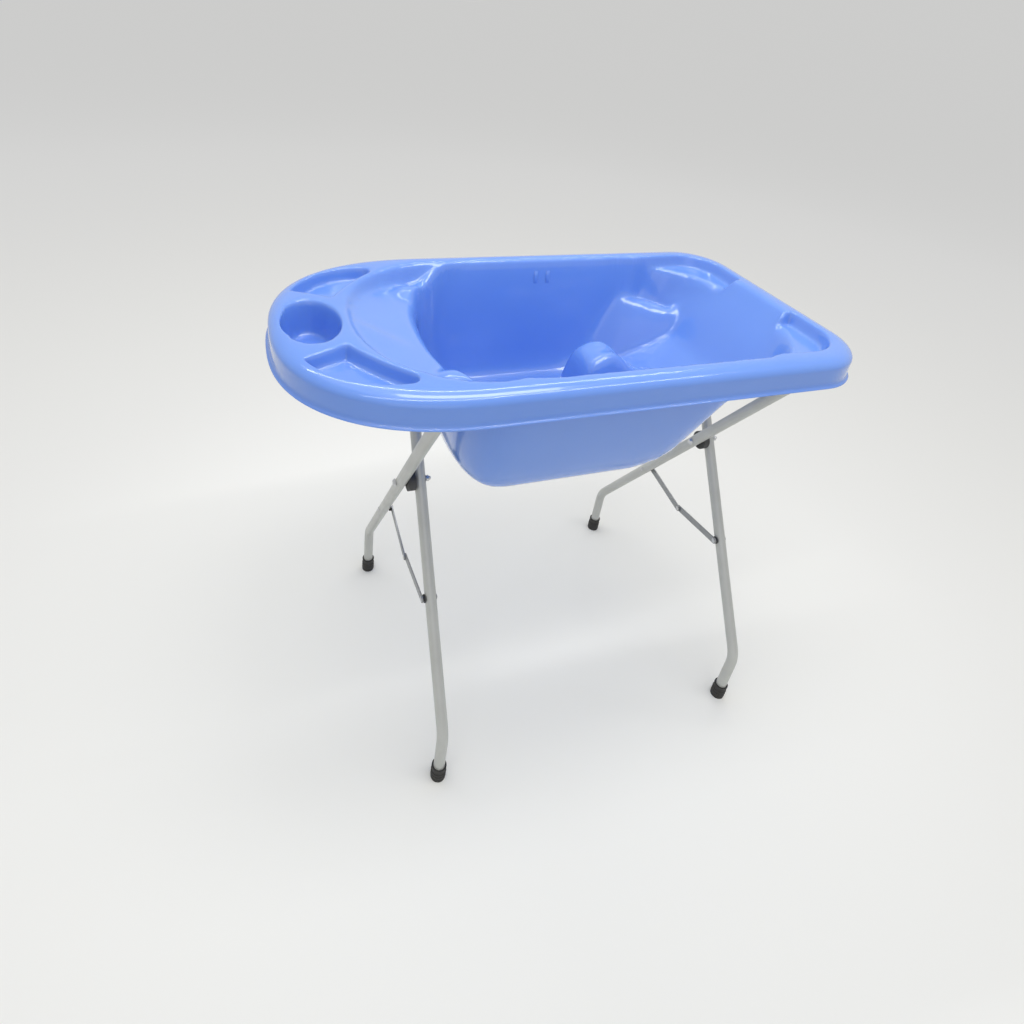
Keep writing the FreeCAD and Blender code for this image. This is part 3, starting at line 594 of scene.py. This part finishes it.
def tube_paint():
    """Silver-grey powder coat: a fine orange peel over slightly uneven grey."""
    made, tree, shader = material("tube_paint", (0.56, 0.57, 0.55), 0.34, 0.35)
    vary(tree, shader.inputs["Base Color"], object_noise(tree, 18, 4),
         (0.43, 0.44, 0.42), (0.55, 0.56, 0.54))
    vary(tree, shader.inputs["Roughness"], object_noise(tree, 60, 4), 0.30, 0.44)
    bump(tree, shader, object_noise(tree, 350, 2), 0.06, 0.0005)
    return made


def foot_rubber():
    """Black rubber with dusty patches and a fine grain."""
    made, tree, shader = material("foot_rubber", (0.02, 0.02, 0.02), 0.62)
    vary(tree, shader.inputs["Base Color"], object_noise(tree, 60, 5),
         (0.012, 0.012, 0.012), (0.045, 0.043, 0.040))
    vary(tree, shader.inputs["Roughness"], object_noise(tree, 120, 3), 0.50, 0.75)
    bump(tree, shader, object_noise(tree, 1500, 2), 0.2, 0.0004)
    return made


def dark_plastic():
    """Dark grey moulded plastic of the spacers and bosses, lightly textured."""
    made, tree, shader = material("spacer_plastic", (0.035, 0.036, 0.038), 0.45)
    vary(tree, shader.inputs["Base Color"], object_noise(tree, 50, 3),
         (0.028, 0.029, 0.031), (0.050, 0.050, 0.052))
    vary(tree, shader.inputs["Roughness"], object_noise(tree, 90, 3), 0.38, 0.55)
    bump(tree, shader, object_noise(tree, 1200, 2), 0.25, 0.0003)
    return made


def zinc(name, low, high, rough):
    """Zinc-plated steel: cloudy plating with fine drawn lines."""
    made, tree, shader = material(name, high, rough, 0.9)
    vary(tree, shader.inputs["Base Color"], object_noise(tree, 90, 4), low, high)
    vary(tree, shader.inputs["Roughness"], object_noise(tree, 400, 3, (1, 8, 1)),
         rough - 0.06, rough + 0.10)
    bump(tree, shader, object_noise(tree, 700, 2, (1, 6, 1)), 0.15, 0.0003)
    return made


def plug_rubber():
    """Soft pale grey rubber of the drain plug."""
    made, tree, shader = material("plug_rubber", (0.50, 0.54, 0.60), 0.55)
    vary(tree, shader.inputs["Base Color"], object_noise(tree, 80, 3),
         (0.46, 0.50, 0.56), (0.55, 0.59, 0.65))
    vary(tree, shader.inputs["Roughness"], object_noise(tree, 150, 3), 0.48, 0.64)
    bump(tree, shader, object_noise(tree, 1400, 2), 0.15, 0.0003)
    return made


MATERIALS = {
    "tub_plastic": tub_plastic(),
    "tube_paint": tube_paint(),
    "foot_rubber": foot_rubber(),
    "spacer_plastic": dark_plastic(),
    "link_steel": zinc("link_steel", (0.26, 0.27, 0.28), (0.40, 0.41, 0.42), 0.38),
    "fastener_steel": zinc("fastener_steel", (0.50, 0.51, 0.52), (0.66, 0.67, 0.68), 0.28),
    "plug_rubber": plug_rubber(),
}
for part in frame["record"]["subparts"]:
    if part["node"] in NODES:
        for slot in NODES[part["node"]].material_slots:
            slot.material = MATERIALS[part["material_slot"]]

# ---------------------------------------------------------------- the tub

tub = new_piece("moulded_tub", *tub_mesh(), "tub", "tub_plastic", MATERIALS["tub_plastic"])
thick = tub.modifiers.new("wall", "SOLIDIFY")
thick.thickness = WALL * 0.95
thick.offset = -1
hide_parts("tub_shell")
new_piece("tub_wall_marks", *wall_marks(), "tub", "tub_plastic", MATERIALS["tub_plastic"])

# ---------------------------------------------------------------- floor, light and camera

SKY, SKY_STRENGTH = (0.96, 0.96, 0.96), 0.68
# floor colours: the near one is a painted pool of light under the object, the middle one painted greyer shade,
# the far one the plain backdrop
NEAR_FLOOR_PAINTED_LIGHT, MIDDLE_FLOOR_PAINTED_SHADE, FAR_FLOOR = (0.95, 0.95, 0.91), (0.80, 0.80, 0.78), (0.93, 0.93, 0.92)
FLOOR_REACH = 60.0
LAMP_TARGET = (0, 0, 0.7)
CAMERA_PLACE = (-0.516, -0.915, 1.351)
CAMERA_LENS = 22.9
CAMERA_SHIFT = (0.0395, -0.1585)


def backdrop():
    """A wide pale floor. Its colour holds a painted pool of light under the object and painted greyer shade
    some way off, and is pale again far away.
    """
    made, tree, shader = material("backdrop", FAR_FLOOR, 0.9)
    shader.inputs["Specular IOR Level"].default_value = 0.0
    place = tree.nodes.new("ShaderNodeTexCoord")
    length = tree.nodes.new("ShaderNodeVectorMath")
    length.operation = "LENGTH"
    tree.links.new(place.outputs["Object"], length.inputs[0])
    spread = tree.nodes.new("ShaderNodeMapRange")
    spread.inputs["From Max"].default_value = 5.0
    tree.links.new(length.outputs["Value"], spread.inputs["Value"])
    # painted light: the ramp paints a bright pool near the middle and a greyer ring of painted shade further
    # out
    ramp = tree.nodes.new("ShaderNodeValToRGB")
    ramp.color_ramp.interpolation = "EASE"
    ramp.color_ramp.elements[0].color = (*NEAR_FLOOR_PAINTED_LIGHT, 1)
    ramp.color_ramp.elements[1].color = (*FAR_FLOOR, 1)
    ramp.color_ramp.elements.new(0.28).color = (*MIDDLE_FLOOR_PAINTED_SHADE, 1)
    tree.links.new(spread.outputs["Result"], ramp.inputs["Fac"])
    tree.links.new(ramp.outputs["Color"], shader.inputs["Base Color"])
    mesh = bpy.data.meshes.new("floor")
    corners = [(-1, -1), (1, -1), (1, 1), (-1, 1)]
    mesh.from_pydata([(FLOOR_REACH * i, FLOOR_REACH * j, 0) for i, j in corners], [], [(0, 1, 2, 3)])
    floor = bpy.data.objects.new("floor", mesh)
    bpy.context.collection.objects.link(floor)
    mesh.materials.append(made)


def area_light(name, place, target, size, power, width=None):
    """A soft white lamp aimed at a point: a square, or a strip along X with its own width."""
    data = bpy.data.lights.new(name, "AREA")
    data.shape = "RECTANGLE"
    data.size = size
    data.size_y = width or size
    data.energy = power
    lamp = bpy.data.objects.new(name, data)
    bpy.context.collection.objects.link(lamp)
    lamp.visible_camera = False
    lamp.location = place
    lamp.rotation_euler = (Vector(target) - Vector(place)).to_track_quat("-Z", "Y").to_euler()


def world():
    """An even pale sky. Camera and transmission rays see it in the far floor's colour, so no horizon shows."""
    made = bpy.data.worlds.new("studio")
    made.use_nodes = True
    tree = made.node_tree
    light = tree.nodes["Background"]
    light.inputs["Color"].default_value = (*SKY, 1)
    light.inputs["Strength"].default_value = SKY_STRENGTH
    seen = tree.nodes.new("ShaderNodeBackground")
    seen.inputs["Color"].default_value = (*[a * b for a, b in zip(SKY, FAR_FLOOR)], 1)
    seen.inputs["Strength"].default_value = SKY_STRENGTH
    path = tree.nodes.new("ShaderNodeLightPath")
    either = tree.nodes.new("ShaderNodeMath")
    either.operation = "MAXIMUM"
    tree.links.new(path.outputs["Is Camera Ray"], either.inputs[0])
    tree.links.new(path.outputs["Is Transmission Ray"], either.inputs[1])
    mix = tree.nodes.new("ShaderNodeMixShader")
    tree.links.new(either.outputs["Value"], mix.inputs["Fac"])
    tree.links.new(light.outputs["Background"], mix.inputs[1])
    tree.links.new(seen.outputs["Background"], mix.inputs[2])
    tree.links.new(mix.outputs["Shader"], tree.nodes["World Output"].inputs["Surface"])
    bpy.context.scene.world = made


def camera():
    """The viewer stands in front of the cup end, above the rim, looking along the tub and down."""
    yaw, pitch, roll = 0.378, 0.510, -0.116
    ahead = Vector((math.sin(yaw) * math.cos(pitch), math.cos(yaw) * math.cos(pitch), -math.sin(pitch)))
    level = Vector((math.cos(yaw), -math.sin(yaw), 0))
    down = ahead.cross(level)
    right = math.cos(roll) * level + math.sin(roll) * down
    up = math.sin(roll) * level - math.cos(roll) * down
    data = bpy.data.cameras.new("camera")
    data.sensor_width = 36
    data.lens = CAMERA_LENS
    data.shift_x, data.shift_y = CAMERA_SHIFT
    data.clip_start, data.clip_end = 0.05, 100
    made = bpy.data.objects.new("camera", data)
    bpy.context.collection.objects.link(made)
    turn = Matrix((right, up, -ahead)).transposed().to_4x4()
    made.matrix_world = Matrix.Translation(CAMERA_PLACE) @ turn
    bpy.context.scene.camera = made


backdrop()
area_light("ceiling", (-0.2, 0.4, 3.6), LAMP_TARGET, 2.6, 13)
area_light("tube_near", (0.1, -0.9, 3.2), LAMP_TARGET, 4.0, 19, 0.06)
area_light("tube_far", (0.1, 1.3, 3.2), LAMP_TARGET, 4.0, 19, 0.06)
area_light("front", (-0.9, -3.2, 1.7), LAMP_TARGET, 2.4, 7)
area_light("inner", (0.05, -0.14, 2.1), (0.1, 0.2, 0.75), 0.9, 6, 0.35)
world()
camera()
bpy.context.scene.view_settings.view_transform = "Standard"
